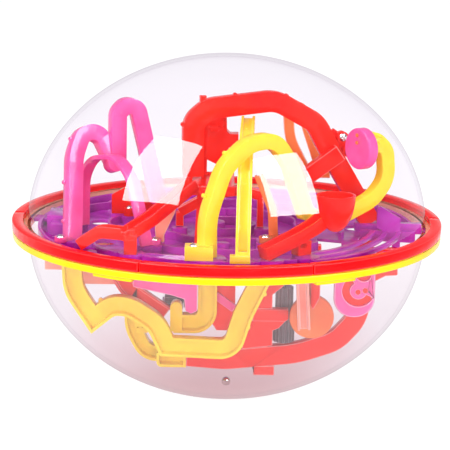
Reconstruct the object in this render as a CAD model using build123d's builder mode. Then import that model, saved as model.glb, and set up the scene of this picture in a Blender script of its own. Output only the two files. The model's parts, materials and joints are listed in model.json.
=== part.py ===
from build123d import *
from math import asin, cos, degrees, radians, sin, sqrt
import os

# Saucer-shaped 3D maze ball: two clear half shells held by a two-colour rim, a purple maze plate
# in the parting plane, and moulded tracks above and below it for a loose steel ball.
# Origin: centre of the foot flat. +Z up, the front of the toy faces -Y. Millimetres.

os.makedirs("parts", exist_ok=True)

# ---------------------------------------------------------------- driving dimensions
RIM_R = 110.0  # outside radius of the rim
SHELL_RX = 102.2  # half-width of the shells, outside
SHELL_RZ = 88.2  # half-height of the shells, outside
SHELL_T = 1.6
RIM_Z = 88.0  # height of the parting plane over the foot
FLANGE_R = 107.0
FLANGE_T = 1.6
CLIP_H = 4.8  # red clips, above the parting plane
CLIP_INNER_R = 104.4
RING_H = 3.6  # yellow ring, below the parting plane
SEAM = 0.7  # gap between neighbouring rim clips

PLATE_R = 97.0
FOOT_Z = 1.0  # top of the maze walls and of the pads that carry the tracks
FLOOR_Z = -3.0  # top of the plate's floor
FLOOR_T = 1.5
UNDER_Z = FLOOR_Z - FLOOR_T  # underside of the plate
WALL_T = 1.6
TAB_ANGLES = (-5, 55, 115, 175, 235, 295)

TRACK_T = 1.3  # wall and floor thickness of the tracks
BALL_R = 2.38
SCREW_R = 1.0
SCREW_HEAD_R = 2.2
BOSS_R = 3.2
SCREW_L = 2.2
NUB_R = 1.1
NUB_T = 2.0
PIN_R = 1.0
PIN_CLEARANCE = 0.05
GAP = 0.4  # free space round the pieces that turn


# ---------------------------------------------------------------- helpers
def upright(x, y, turn=0.0, lean=0.0):
    """Upright plane through (x, y) that faces the front, turned about Z; its origin is at rim height.

    A lean tips the top of the plane back by that many degrees.
    """
    a = radians(turn)
    b = radians(lean)
    facing = (sin(a) * cos(b), -cos(a) * cos(b), sin(b))
    return Plane(origin=(x, y, RIM_Z), x_dir=(cos(a), sin(a), 0), z_dir=facing)


def level(z):
    """Horizontal plane at a height over the parting plane."""
    return Plane.XY.offset(RIM_Z + z)


def band(points, bends, width):
    """Flat band of even width along a route of straight runs and rounded bends."""
    with BuildSketch() as outline:
        with BuildLine():
            if bends:
                FilletPolyline(*points, radius=bends)
            else:
                Polyline(*points)
        trace(line_width=width)
    return outline.sketch


def plate_space():
    """Room of the maze plate, which the tracks stand on or hang from."""
    with BuildPart() as room:
        with BuildSketch(level(UNDER_Z)):
            Circle(RIM_R)
        extrude(amount=FOOT_Z - UNDER_Z)
    return room.part


def channel(spans, width, depth):
    """Track of U section: its floor lies on each span's plane and its two edge walls stand off it.

    A span is (plane, points, bends). A positive depth opens the track to the front, a negative one
    opens it to the back.
    """
    side = 1 if depth > 0 else -1
    with BuildPart() as track:
        for plane, points, bends in spans:
            with BuildSketch(plane):
                add(band(points, bends, width))
            extrude(amount=depth)
        for plane, points, bends in spans:
            with BuildSketch(plane.offset(side * TRACK_T)):
                add(band(points, bends, width - 2 * TRACK_T))
            extrude(amount=depth, mode=Mode.SUBTRACT)
        add(plate_space(), mode=Mode.SUBTRACT)
    return track.part


def gutter(spans, height, width, floor=TRACK_T):
    """Track that is open at the top: it runs behind each span's plane, between a front and a back wall."""
    with BuildPart() as track:
        for plane, points, bends in spans:
            with BuildSketch(plane):
                add(band(points, bends, height))
            extrude(amount=-width)
        for plane, points, bends in spans:
            raised = [(x, y + floor) for x, y in points]
            with BuildSketch(plane.offset(-TRACK_T)):
                add(band(raised, bends, height))
            extrude(amount=2 * TRACK_T - width, mode=Mode.SUBTRACT)
        add(plate_space(), mode=Mode.SUBTRACT)
    return track.part


def finish(part, name):
    part.label = name
    export_step(part, f"parts/{name}.step")


# ---------------------------------------------------------------- clear shells
TAB_L = 14.0  # plate tabs, clamped between the two flanges
TAB_W = 9.0
TAB_T = 1.6
POLE_R = 5.0  # flat on the inside of each pole


def half_shell(side, outer_pole_r):
    """Clear half shell above (side 1) or below (side -1) the parting plane."""
    rx, rz = SHELL_RX - SHELL_T, SHELL_RZ - SHELL_T
    outer_end = 90 - degrees_at(outer_pole_r, SHELL_RX)
    inner_end = 90 - degrees_at(POLE_R, rx)
    with BuildPart() as shell:
        with BuildSketch(Plane.XZ):
            with BuildLine():
                outer = EllipticalCenterArc((0, 0), SHELL_RX, SHELL_RZ, start_angle=0, arc_size=outer_end)
                inner = EllipticalCenterArc((0, 0), rx, rz, start_angle=0, arc_size=inner_end)
                outer_pole = (0, (outer @ 1).Y)
                inner_pole = (0, (inner @ 1).Y)
                Polyline(outer @ 1, outer_pole, inner_pole, inner @ 1)
                Line(inner @ 0, outer @ 0)
            make_face()
            flange_in = SHELL_RX - SHELL_T / 2
            with Locations(((flange_in + FLANGE_R) / 2, FLANGE_T / 2)):
                Rectangle(FLANGE_R - flange_in, FLANGE_T)
        revolve(axis=Axis.Z)
        with BuildSketch():
            with PolarLocations(PLATE_R + TAB_L / 2 - 5, 6, start_angle=TAB_ANGLES[0]):
                Rectangle(TAB_L + 0.4, TAB_W + 0.3)
        extrude(amount=TAB_T / 2 + 0.05, mode=Mode.SUBTRACT)
    placed = shell.part if side > 0 else shell.part.mirror(Plane.XY)
    return placed.moved(Location((0, 0, RIM_Z)))


def degrees_at(radius, half_width):
    """Angle short of the pole at which an ellipse has come in to a radius."""
    return degrees(asin(radius / half_width))


with BuildPart() as clear_upper_shell:
    add(half_shell(1, POLE_R))
finish(clear_upper_shell.part, "clear_upper_shell")

FOOT_R = SHELL_RX * sqrt(1 - (RIM_Z / SHELL_RZ) ** 2)
with BuildPart() as clear_lower_shell:
    add(half_shell(-1, FOOT_R))
finish(clear_lower_shell.part, "clear_lower_shell")

# ---------------------------------------------------------------- rim
LIP = 1.0  # rounding of the rim's outer edges
SEAMS = (-159, -90, -21, 21, 90, 159)  # measured from the front, towards +X
CLIP_NAMES = (
    "rim_clip_left_back",
    "rim_clip_left_front",
    "rim_clip_front",
    "rim_clip_right_front",
    "rim_clip_right_back",
    "rim_clip_back",
)


def rim_profile(side, height, inner_r, outer_r):
    """Section of a rim piece that laps over the shells' flange."""
    with BuildSketch(Plane.XZ) as profile:
        with BuildLine():
            Polyline(
                (FLANGE_R + 0.2, 0),
                (outer_r - 0.5, 0),
                (outer_r, side * 0.5),
                (outer_r, side * height),
                (inner_r, side * height),
                (inner_r, side * FLANGE_T),
                (FLANGE_R + 0.2, side * FLANGE_T),
                close=True,
            )
        make_face()
        corners = profile.vertices().filter_by(lambda v: abs(v.Z - side * height) < 0.01)
        fillet(corners, LIP)
    return profile.sketch


for name, seam, next_seam in zip(CLIP_NAMES, SEAMS, SEAMS[1:] + (SEAMS[0] + 360,)):
    half_gap = degrees(SEAM / 2 / RIM_R)
    with BuildPart() as rim_clip:
        with BuildSketch(Plane.XZ):
            add(rim_profile(1, CLIP_H, CLIP_INNER_R, RIM_R))
        revolve(axis=Axis.Z, revolution_arc=next_seam - seam - 2 * half_gap)
    turned = rim_clip.part.moved(Location((0, 0, RIM_Z), (0, 0, seam + half_gap - 90)))
    finish(turned, name)

# Thick pads under the ring, one beside each end of the long side clips.
PAD_H = 1.6
PAD_STARTS = (-34, -88, -103, -157, 22, 77, 92, 146)
PAD_SWEEP = 11

with BuildPart() as lower_rim_ring:
    with BuildSketch(Plane.XZ):
        add(rim_profile(-1, RING_H, CLIP_INNER_R, RIM_R - 0.2))
    revolve(axis=Axis.Z)
    pad_r = (CLIP_INNER_R + RIM_R - 0.2) / 2
    for start in PAD_STARTS:
        with BuildSketch(Plane.XY.offset(-RING_H + 0.2)):
            with BuildLine():
                CenterArc((0, 0), pad_r, start - 90, PAD_SWEEP)
            trace(line_width=RIM_R - 1.4 - CLIP_INNER_R)
        extrude(amount=-PAD_H)
finish(lower_rim_ring.part.moved(Location((0, 0, RIM_Z))), "lower_rim_ring")

# ---------------------------------------------------------------- maze plate
# Angles on the plate are measured from +X, anticlockwise seen from above.
COMB_START, COMB_END = -62, -10  # the comb opening in the right front of the plate
COMB_INNER_R = 69.0
COMB_OUTER_R = 90.0
COMB_EDGE_START = -37  # from here on the opening runs out to the edge of the plate
COMB_RADII = (75.4, 82.1, COMB_OUTER_R - 1.2)
COMB_W = 2.4
COMB_T = 1.8
HUB_R = 15.0

SCALLOP_RINGS = ((80.0, 15, 6.5), (57.0, 11, 6.0), (35.0, 8, 5.0))  # radius, cusps, bulge
POCKET_HOLES = ((68.0, 5.5, 9, 8), (46.0, 4.5, 6, 25))  # pitch radius, radius, number, first angle
SIGHT_HOLE = ((46, -16), (58, -20), (57, -36), (45, -42))  # opening ahead of the comb

STEP_BLOCKS = (  # x, y, length, width, top height of the stepped blocks at the left
    (-86.5, 2, 11, 20, 5.0),
    (-83.0, -14, 12, 10, 3.0),
    (-80.0, 18, 10, 12, 2.5),
)
FRONT_WALLS = (((-60, -61), (-47, -66)), ((-39, -69), (-19, -73)), ((25, -78), (33, -76)))

# Upright fin at the right end of the comb, with a short leg below the plate.
SIDE_FIN = ((76.2, 3), (76.2, 13), (78, 13.6), (88.1, 7.6), (88.4, -8.6), (84.4, -8.6), (84.4, 0), (80, 0.6))
SIDE_FIN_T = 2.5
SIDE_FIN_Y = -15

# Pads that carry the feet of the tracks: x, y, radius.
FOOT_PADS = (
    (-76, -42, 8.0),
    (-80.5, -47, 4.0),
    (-76, -6, 5.0),
    (-37, -52, 6.0),
    (-66, -68, 5.0),
    (-45, -68, 6.0),
    (-9, -77, 9.0),
    (7.5, -82, 6.0),
    (21, -80, 6.0),
    (38, -71, 6.0),
    (21, -38, 6.5),
    (-14, -50, 3.5),
    (-2, -46, 3.5),
    (40, 32, 5.0),
    (-8, 2, 7.0),
    (74, 6, 7.5),
    (19, -44, 4.5),
    (-24, -13, 4.0),
    (18, -13, 4.0),
    (-34, -46, 4.0),
    (-51, 14, 4.5),
    (-58, 20, 4.0),
    (-36, 20, 4.0),
)


def polar(radius, angle):
    return (radius * cos(radians(angle)), radius * sin(radians(angle)))


with BuildPart() as maze_plate:
    with BuildSketch(level(UNDER_Z)):
        Circle(PLATE_R)
        for start, inner, outer in (
            (COMB_START, COMB_INNER_R, COMB_OUTER_R),
            (COMB_EDGE_START, COMB_OUTER_R - 1, PLATE_R + 1),
        ):
            with BuildLine():
                CenterArc((0, 0), (inner + outer) / 2, start, COMB_END - start)
            trace(line_width=outer - inner, mode=Mode.SUBTRACT)
        for pitch_r, hole_r, count, first in POCKET_HOLES:
            with PolarLocations(pitch_r, count, start_angle=first):
                Circle(hole_r, mode=Mode.SUBTRACT)
    extrude(amount=FLOOR_T)
    with BuildSketch(level(FLOOR_Z)):
        with BuildLine():
            CenterArc((0, 0), PLATE_R - WALL_T / 2, COMB_END, 360 - COMB_END + COMB_EDGE_START)
        trace(line_width=WALL_T)
        for ring_r, cusps, bulge in SCALLOP_RINGS:
            pitch = 360 / cusps
            for i in range(cusps):
                start = i * pitch
                in_comb = ring_r + bulge > COMB_INNER_R and start + pitch > 360 + COMB_START
                if not in_comb:
                    with BuildLine():
                        SagittaArc(polar(ring_r, start), polar(ring_r, start + pitch), -bulge)
                    trace(line_width=WALL_T)
        for wall_start, wall_end in FRONT_WALLS:
            with BuildLine():
                Line(wall_start, wall_end)
            trace(line_width=WALL_T)
        Circle(HUB_R)
        Circle(HUB_R - WALL_T, mode=Mode.SUBTRACT)
        for x, y, r in FOOT_PADS:
            with Locations((x, y)):
                Circle(r)
    extrude(amount=FOOT_Z - FLOOR_Z)
    with BuildSketch(level(UNDER_Z)):
        Polygon(*SIGHT_HOLE, align=None)
    extrude(amount=FOOT_Z - UNDER_Z, mode=Mode.SUBTRACT)
    for x, y, length, width, top in STEP_BLOCKS:
        with BuildSketch(level(FLOOR_Z)):
            with Locations((x, y)):
                Rectangle(length, width)
        extrude(amount=top - FLOOR_Z)
    with BuildSketch(level(-TAB_T / 2)):
        with PolarLocations(PLATE_R + TAB_L / 2 - 5, 6, start_angle=TAB_ANGLES[0]):
            Rectangle(TAB_L, TAB_W)
    extrude(amount=TAB_T)
    with BuildSketch(level(UNDER_Z)):
        for angle, outer in ((COMB_START - 0.5, COMB_OUTER_R), (COMB_END + 0.5, PLATE_R - WALL_T / 2)):
            with BuildLine():
                Line(polar(COMB_INNER_R, angle), polar(outer, angle))
            trace(line_width=WALL_T)
    extrude(amount=FOOT_Z - UNDER_Z)
    with BuildSketch(level(FOOT_Z)):
        for comb_r in COMB_RADII:
            with BuildLine():
                CenterArc((0, 0), comb_r, COMB_START - 1, COMB_END - COMB_START + 2)
            trace(line_width=COMB_W)
    extrude(amount=-COMB_T)
    with BuildSketch(upright(0, SIDE_FIN_Y)):
        with BuildLine():
            Polyline(*SIDE_FIN, close=True)
        make_face()
    extrude(amount=-SIDE_FIN_T)
    with BuildSketch(upright(0, SIDE_FIN_Y + 2)):
        with Locations((92.5, 2.2)):
            Rectangle(13, 4.8)
    extrude(amount=-4)
finish(maze_plate.part, "maze_plate")

# ---------------------------------------------------------------- small features
def nubs(plane, spots, side=1):
    """Round ejector nubs on the edges of a track."""
    with BuildPart() as found:
        with BuildSketch(plane):
            with Locations(*spots):
                Circle(NUB_R)
        extrude(amount=side * NUB_T)
    return found.part


def boss(x, y, top, radius=BOSS_R, bottom=FOOT_Z):
    """Upright screw boss; its screw hole is cut by screw_hole."""
    with BuildPart() as found:
        with BuildSketch(level(bottom)):
            with Locations((x, y)):
                Circle(radius)
        extrude(amount=top - bottom)
    return found.part


def screw_hole(x, y, top):
    with BuildPart() as found:
        with BuildSketch(level(top)):
            with Locations((x, y)):
                Circle(SCREW_R + 0.05)
        extrude(amount=-SCREW_L - 0.1)
    return found.part


# ---------------------------------------------------------------- tracks above the plate
# Pink wave: two humps with a rounded dip between them; the second hump turns more to the front.
PINK_W = 7.8
PINK_D = 6.0
pink_front = upright(-74, -44, 35, 17)
pink_back = upright(-56.5, -18.5, 25)
pink_spans = (
    (
        pink_front,
        ((-0.2, -2), (8.2, 42), (14.3, 52.6), (23.9, 53.3), (29.3, 38)),
        (24, 7, 7),
    ),
    (pink_back, ((2.5, 35), (2.8, 59.5), (7, 63.3), (13, 62.2), (25, 13)), (5, 4.4, 5)),
)
PINK_BOSS = (-80.3, -48, 3.4)
with BuildPart() as pink_wave_track:
    add(channel(pink_spans, PINK_W, -PINK_D))
    with BuildSketch(pink_front.offset(-PINK_D)):
        with Locations((30, 36.5)):
            Circle(PINK_W / 2 + 0.6)
    extrude(amount=PINK_D)
    add(boss(*PINK_BOSS))
    with BuildSketch(level(FOOT_Z)):
        with Locations((-78.2, -45.6)):
            Rectangle(5, 4, rotation=40)
    extrude(amount=1.6)
    add(nubs(pink_front.offset(-PINK_D), ((-1.6, 11), (2, 30), (9.2, 51))))
    add(screw_hole(*PINK_BOSS), mode=Mode.SUBTRACT)
finish(pink_wave_track.part, "pink_wave_track")

# Pink strap: a plain bowed bridge across the corner below the wave.
STRAP_W = 6.4
STRAP_T = 2.0
STRAP_BOSS = (-34.6, -50.6, 3.4)
with BuildPart() as pink_bridge_strap:
    with BuildSketch(upright(-76.2, -6.5, -52).offset(-STRAP_W / 2)):
        add(
            band(
                ((4.9, FOOT_Z), (5.9, 25.5), (14.3, 37.8), (36.1, 40.8), (49, 33.4), (61.6, FOOT_Z)),
                (14, 20, 18, 18),
                STRAP_T,
            )
        )
    extrude(amount=STRAP_W)
    add(plate_space(), mode=Mode.SUBTRACT)
    add(boss(*STRAP_BOSS))
    add(screw_hole(*STRAP_BOSS), mode=Mode.SUBTRACT)
finish(pink_bridge_strap.part, "pink_bridge_strap")

# Red ramp rail: a gutter that climbs from the left front of the plate to the tower.
RAMP_H = 5.4
RAMP_W = 7.6
ramp_left = upright(-45, -72, -8)
ramp_right = upright(-45, -72, 38)
with BuildPart() as red_ramp_rail:
    add(
        gutter(
            (
                (ramp_left, ((-25, 4), (-15.2, 10.8), (1.5, 9.8)), (8,)),
                (ramp_right, ((-2, 9), (14, 15.6), (39, 30)), (40,)),
            ),
            RAMP_H,
            RAMP_W,
        )
    )
    with BuildSketch(level(FOOT_Z)):
        with Locations((-45, -71)):
            Rectangle(6, 4.4)
    extrude(amount=9)
    with BuildSketch(level(8)):
        with Locations((-45, -73.2)):
            Rectangle(4.2, 1.2)
    extrude(amount=3, mode=Mode.SUBTRACT)
finish(red_ramp_rail.part, "red_ramp_rail")

# Pink drum: a puck that turns on a pin at the end of the yellow loop; its face looks to the left front.
DRUM_R = 10.2
DRUM_T = 5.7
DRUM_Z = 45.6
DRUM_BORE = 4.4
PEG_R = 0.9
PEG_HEIGHTS = (48.7, 52.4)
drum_face = upright(63.4, -29.8, -57)
with BuildPart() as pink_drum:
    with BuildSketch(drum_face):
        with Locations((0, DRUM_Z)):
            Circle(DRUM_R)
    extrude(amount=-DRUM_T)
    fillet(pink_drum.edges().filter_by(GeomType.CIRCLE), 1.2)
    with BuildSketch(drum_face.offset(-DRUM_T)):
        with Locations((0, DRUM_Z)):
            Circle(PIN_R + PIN_CLEARANCE)
    extrude(amount=DRUM_BORE, mode=Mode.SUBTRACT)
    with BuildSketch(drum_face):
        with Locations(*[(0, z) for z in PEG_HEIGHTS]):
            Circle(PEG_R)
    extrude(amount=-2, mode=Mode.SUBTRACT)
finish(pink_drum.part, "pink_drum")

with BuildPart() as drum_pegs:
    with BuildSketch(drum_face.offset(-2)):
        with Locations(*[(0, z) for z in PEG_HEIGHTS]):
            Circle(PEG_R)
    extrude(amount=2.5)
finish(drum_pegs.part, "drum_pegs")

with BuildPart() as drum_pin:
    with BuildSketch(drum_face.offset(-DRUM_T + DRUM_BORE - 0.3)):
        with Locations((0, DRUM_Z)):
            Circle(PIN_R)
    extrude(amount=0.3 - DRUM_BORE - GAP - 4)
finish(drum_pin.part, "drum_pin")

# Yellow wave: an arch over the front of the plate that runs on into the loop at the right.
YELLOW_W = 7.4
YELLOW_D = 5.6
yellow_arch = upright(-10, -80, 40)
yellow_loop = upright(41, -37.2, 29)
YELLOW_BOSS = (-15, -79, 7.4)
with BuildPart() as yellow_wave_track:
    add(
        channel(
            (
                (
                    yellow_arch,
                    ((3.8, FOOT_Z), (3.6, 20), (13, 42.5), (28, 52.5), (44, 53), (53.5, 41), (66.5, 13)),
                    (30, 20, 20, 14, 30),
                ),
                (
                    yellow_loop,
                    ((-3, 16), (7, 10), (21, 11.5), (38, 18), (46.5, 28), (45, 42.5), (38, 48.8), (33, 48.8)),
                    (10, 20, 20, 14, 8, 8),
                ),
            ),
            YELLOW_W,
            -YELLOW_D,
        )
    )
    with BuildSketch(level(FOOT_Z)):
        with Locations((-12.6, -78.5)):
            Rectangle(13.2, 9)
    extrude(amount=6.4)
    add(nubs(yellow_arch.offset(-YELLOW_D), ((3.2, 30), (15.4, 48.8))))
    add(screw_hole(*YELLOW_BOSS), mode=Mode.SUBTRACT)
    with BuildSketch(yellow_loop.offset(-0.5)):
        with Locations((36, 46.5)):
            Rectangle(6, 7)
    extrude(amount=5)
    with BuildSketch(drum_face.offset(-DRUM_T - GAP)):
        with Locations((0, DRUM_Z)):
            Circle(3.0)
    extrude(amount=-6.5)
    with BuildSketch(drum_face.offset(-DRUM_T - GAP)):
        with Locations((0, DRUM_Z)):
            Circle(PIN_R)
    extrude(amount=-4, mode=Mode.SUBTRACT)
finish(yellow_wave_track.part, "yellow_wave_track")

# Yellow climb: a shallow gutter from the front of the plate up to the red arch, on a wide foot.
CLIMB_W = 6.8
CLIMB_H = 6.0
CLIMB_FLOOR = 4.9
climb_side = upright(11, -85, 88)
with BuildPart() as yellow_climb_gutter:
    add(
        gutter(
            ((climb_side, ((1, FOOT_Z), (3, 12), (18, 36.5), (40, 51.5), (72, 55.8)), (16, 30, 30)),),
            CLIMB_H,
            CLIMB_W,
            CLIMB_FLOOR,
        )
    )
    with BuildSketch(level(FOOT_Z)):
        with Locations((6.4, -85)):
            Rectangle(9.4, 5)
    extrude(amount=3.4)
finish(yellow_climb_gutter.part, "yellow_climb_gutter")

# Deck of the red tower, which the head of the ramp meets and the arch's left leg stands on.
DECK_X0, DECK_X1 = -19.0, 3.5
DECK_Y0, DECK_Y1 = -40.0, -0.6
DECK_BOTTOM, DECK_TOP = 23.2, 27.8

# Red arch: the widest track, an eight-sided arch over the middle that lands at the right.
RED_W = 10.4
RED_D = 6.0
red_arch = upright(0, -12, 12)
with BuildPart() as red_arch_track:
    add(
        channel(
            (
                (
                    red_arch,
                    (
                        (-17.4, DECK_TOP),
                        (-17.4, 55.2),
                        (-9.5, 62),
                        (25, 65.6),
                        (46, 53.8),
                        (54, 39),
                        (77, FOOT_Z),
                    ),
                    (8, 12, 16, 14, 40),
                ),
            ),
            RED_W,
            -RED_D,
        )
    )
    add(nubs(red_arch.offset(-2), ((-22.6, 54), (4, 68.6), (30.5, 67.8), (52.5, 51.5)), -1))
    with BuildSketch(red_arch.offset(-4)):
        with Locations((-12.5, 66)):
            Rectangle(3.2, 5)
    extrude(amount=3)
finish(red_arch_track.part, "red_arch_track")

# Red cross chute: a short covered channel across the front of the arch's right leg.
CROSS_D = 5.5
with BuildPart() as red_cross_chute:
    add(channel(((red_arch.offset(CROSS_D), ((57.8, 39.3), (41, 27.5)), ()),), 8.4, -CROSS_D))
finish(red_cross_chute.part, "red_cross_chute")

# Red bracket: a plate on the back of the arch with two screw bosses beside its right shoulder.
BRACKET_BOSSES = ((60.6, 46.2), (63.8, 38.6))
BOSS_FRONT = -1.0  # bosses end this far behind the arch's front face
with BuildPart() as red_bracket:
    with BuildSketch(red_arch.offset(-RED_D)):
        Polygon((50, 46), (57, 50), (64, 45), (66, 36), (56, 34), align=None)
    extrude(amount=-2)
    with BuildSketch(red_arch.offset(-RED_D)):
        with Locations(*BRACKET_BOSSES):
            Circle(2.9)
    extrude(amount=RED_D + BOSS_FRONT)
    with BuildSketch(red_arch.offset(BOSS_FRONT)):
        with Locations(*BRACKET_BOSSES):
            Circle(SCREW_R + 0.05)
    extrude(amount=-SCREW_L - 0.1, mode=Mode.SUBTRACT)
finish(red_bracket.part, "red_bracket")

# Orange hairpin: a tall narrow loop behind the arch, on a shelf with its own post.
hairpin = upright(30, 30, 0)
HAIRPIN_D = 6.0
with BuildPart() as orange_hairpin_track:
    add(
        channel(
            (
                (
                    hairpin,
                    ((12.5, 22), (3, 40), (1.8, 55), (9, 58), (12.2, 46), (20.5, 22)),
                    (30, 3, 3.2, 30),
                ),
            ),
            5.6,
            -HAIRPIN_D,
        )
    )
    with BuildSketch(hairpin):
        with Locations((15, 22)):
            Rectangle(20, 5)
        with Locations((10, (22 + FOOT_Z) / 2)):
            Rectangle(5, 22 - FOOT_Z)
    extrude(amount=-HAIRPIN_D)
finish(orange_hairpin_track.part, "orange_hairpin_track")

# Red tower: a deck at the head of the ramp, with the wheel block behind it and struts to the plate.
DECK_RECESS = 1.2
BLOCK_L = 9.0
BLOCK_OUTLINE = (
    (-13.2, DECK_BOTTOM),
    (-13.2, 58),
    (-0.8, 58),
    (-0.5, 49),
    (1.2, 47.4),
    (5.4, 47.4),
    (5.4, 43.7),
    (2.3, 40.5),
    (0.7, 40.5),
    (-3.9, 31),
    (-10.6, 34.2),
    (-10.6, DECK_BOTTOM),
)
COLUMN_AT = (-11.9, 3.0)
WHEEL_X, WHEEL_Z = -6.8, 54.2
WHEEL_BORE = 1.8
block_front = upright(0, -1.6)
deck_mid = ((DECK_X0 + DECK_X1) / 2, (DECK_Y0 + DECK_Y1) / 2)
with BuildPart() as red_tower:
    with BuildSketch(level(DECK_BOTTOM)):
        with Locations(deck_mid):
            Rectangle(DECK_X1 - DECK_X0, DECK_Y1 - DECK_Y0)
    extrude(amount=DECK_TOP - DECK_BOTTOM)
    with BuildSketch(level(DECK_TOP - DECK_RECESS)):
        with Locations(deck_mid):
            Rectangle(DECK_X1 - DECK_X0 - 3, DECK_Y1 - DECK_Y0 - 3)
    extrude(amount=2 * DECK_RECESS, mode=Mode.SUBTRACT)
    with BuildSketch(block_front):
        with BuildLine():
            Polyline(*BLOCK_OUTLINE, close=True)
        make_face()
    extrude(amount=-BLOCK_L)
    with BuildSketch(block_front):
        with Locations((WHEEL_X, WHEEL_Z)):
            Circle(PIN_R)
    extrude(amount=-4, mode=Mode.SUBTRACT)
    with BuildSketch(level(FOOT_Z)):
        with Locations(COLUMN_AT):
            Rectangle(2.6, 6)
    extrude(amount=34 - FOOT_Z)
    with BuildSketch(upright(-15.5, -51, 84)):
        add(band(((1, FOOT_Z), (12, 25)), (), 3.4))
    extrude(amount=2.6)
    add(plate_space(), mode=Mode.SUBTRACT)
finish(red_tower.part, "red_tower")

# Small ratchet wheel, which turns on a pin in the front of the tower block.
WHEEL_R = 5.4
WHEEL_T = 3.0
WHEEL_DIMPLES = ((-2.1, -2.3), (2.1, -2.3))
wheel_back = block_front.offset(GAP)
with BuildPart() as red_ratchet_wheel:
    with BuildSketch(wheel_back):
        with Locations((WHEEL_X, WHEEL_Z)):
            Circle(WHEEL_R - 0.7)
            with PolarLocations(WHEEL_R - 1.0, 10):
                Rectangle(2.0, 1.1)
    extrude(amount=WHEEL_T)
    with BuildSketch(wheel_back):
        with Locations((WHEEL_X, WHEEL_Z)):
            Circle(PIN_R + PIN_CLEARANCE)
    extrude(amount=WHEEL_BORE, mode=Mode.SUBTRACT)
    with BuildSketch(wheel_back.offset(WHEEL_T)):
        with Locations(*[(WHEEL_X + x, WHEEL_Z + z) for x, z in WHEEL_DIMPLES]):
            Circle(0.7)
    extrude(amount=-1.0, mode=Mode.SUBTRACT)
finish(red_ratchet_wheel.part, "red_ratchet_wheel")

with BuildPart() as ratchet_pin:
    with BuildSketch(wheel_back.offset(WHEEL_BORE - 0.3)):
        with Locations((WHEEL_X, WHEEL_Z)):
            Circle(PIN_R)
    extrude(amount=0.3 - WHEEL_BORE - GAP - 4)
finish(ratchet_pin.part, "ratchet_pin")

# Red bridge: a low track crossing in front of the tower, on two feet.
BRIDGE_D = 6.0
red_bridge_front = upright(0, -10, 0)
with BuildPart() as red_bridge:
    add(channel(((red_bridge_front, ((-24, 8), (-8, 17), (6, 20), (18, 17)), (12, 20)),), 5.0, -BRIDGE_D))
    with BuildSketch(red_bridge_front):
        with Locations((-24, (8 + FOOT_Z) / 2)):
            Rectangle(4, 8 - FOOT_Z)
        with Locations((17, (16 + FOOT_Z) / 2)):
            Rectangle(3.4, 16 - FOOT_Z)
    extrude(amount=-BRIDGE_D)
finish(red_bridge.part, "red_bridge")

# Red back wall behind the pink strap.
BACK_BOSS = (-51.0, 14.0, 5.2)
with BuildPart() as red_back_wall:
    with BuildSketch(upright(0, 18, 0)):
        with BuildLine():
            Polyline((-61, FOOT_Z), (-61, 11), (-54, 15), (-36, 15), (-33, 8), (-33, FOOT_Z), close=True)
        make_face()
    extrude(amount=-2.6)
    add(boss(*BACK_BOSS))
    with BuildSketch(level(FOOT_Z)):
        with Locations((-51, 16.5)):
            Rectangle(3, 4)
    extrude(amount=3)
    add(screw_hole(*BACK_BOSS), mode=Mode.SUBTRACT)
finish(red_back_wall.part, "red_back_wall")

# Salmon wedge behind the ramp.
with BuildPart() as salmon_wedge:
    with BuildSketch(upright(0.8, -46.6)):
        with BuildLine():
            Polyline(
                (-35.2, FOOT_Z),
                (-35.6, 8),
                (-34, 19.4),
                (-24, 21.4),
                (-26, 15.4),
                (-31, 4.5),
                (-31, FOOT_Z),
                close=True,
            )
        make_face()
    extrude(amount=-5)
finish(salmon_wedge.part, "salmon_wedge")

# Red scoop: a gutter from the front right of the plate up into a deep round bowl, on one post.
SCOOP_W = 7.6
SCOOP_H = 6.0
BOWL_AT = (51.6, -60.4)
BOWL_R = 9.3
BOWL_WALL = 1.3
BOWL_TOP, BOWL_BOTTOM = 28.6, 10.6
scoop_front = upright(18, -83, 35)
scoop_route = ((1.7, 4.1), (8.5, 6.0), (20.1, 9.4), (31.9, 13.8), (38, 17.4))


def half_ellipsoid(radius, depth):
    """Round bowl shape that hangs down from the bowl's rim."""
    with BuildPart() as found:
        with BuildSketch(Plane.XZ):
            with BuildLine():
                arc = EllipticalCenterArc((0, 0), radius, depth, start_angle=0, arc_size=-90)
                Polyline(arc @ 1, (0, 0), arc @ 0)
            make_face()
        revolve(axis=Axis.Z)
    return found.part.moved(Location((*BOWL_AT, RIM_Z + BOWL_TOP)))


with BuildPart() as red_scoop_chute:
    add(gutter(((scoop_front, scoop_route, (20, 30, 30)),), SCOOP_H, SCOOP_W))
    add(half_ellipsoid(BOWL_R, BOWL_TOP - BOWL_BOTTOM))
    add(
        half_ellipsoid(BOWL_R - BOWL_WALL, BOWL_TOP - BOWL_BOTTOM - BOWL_WALL),
        mode=Mode.SUBTRACT,
    )
    with BuildSketch(scoop_front.offset(-TRACK_T)):
        add(band(((28, 16.4), (38, 20.6)), (), 6.6))
    extrude(amount=2 * TRACK_T - SCOOP_W, mode=Mode.SUBTRACT)
    with BuildSketch(scoop_front.offset(-1)):
        with Locations((24, 4.3)):
            Rectangle(7.7, 2 * (4.3 - FOOT_Z))
        with Locations((23.4, 5.4)):
            Ellipse(2.0, 1.2, mode=Mode.SUBTRACT)
    extrude(amount=2 - SCOOP_W)
finish(red_scoop_chute.part, "red_scoop_chute")

# Orange post: a leaning channel with a screwed foot, between the climb and the comb.
POST_BOSS = (19.0, -44.0, 4.0)
with BuildPart() as orange_post:
    add(
        channel(
            ((upright(21, -38, 0), ((2.2, FOOT_Z), (1.4, 16), (-5.5, 33)), (14,)),),
            4.6,
            -5.0,
        )
    )
    add(boss(*POST_BOSS))
    with BuildSketch(level(FOOT_Z)):
        with Locations((21, -39.5)):
            Rectangle(4.4, 5)
    extrude(amount=2.4)
    add(screw_hole(*POST_BOSS), mode=Mode.SUBTRACT)
finish(orange_post.part, "orange_post")

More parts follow.
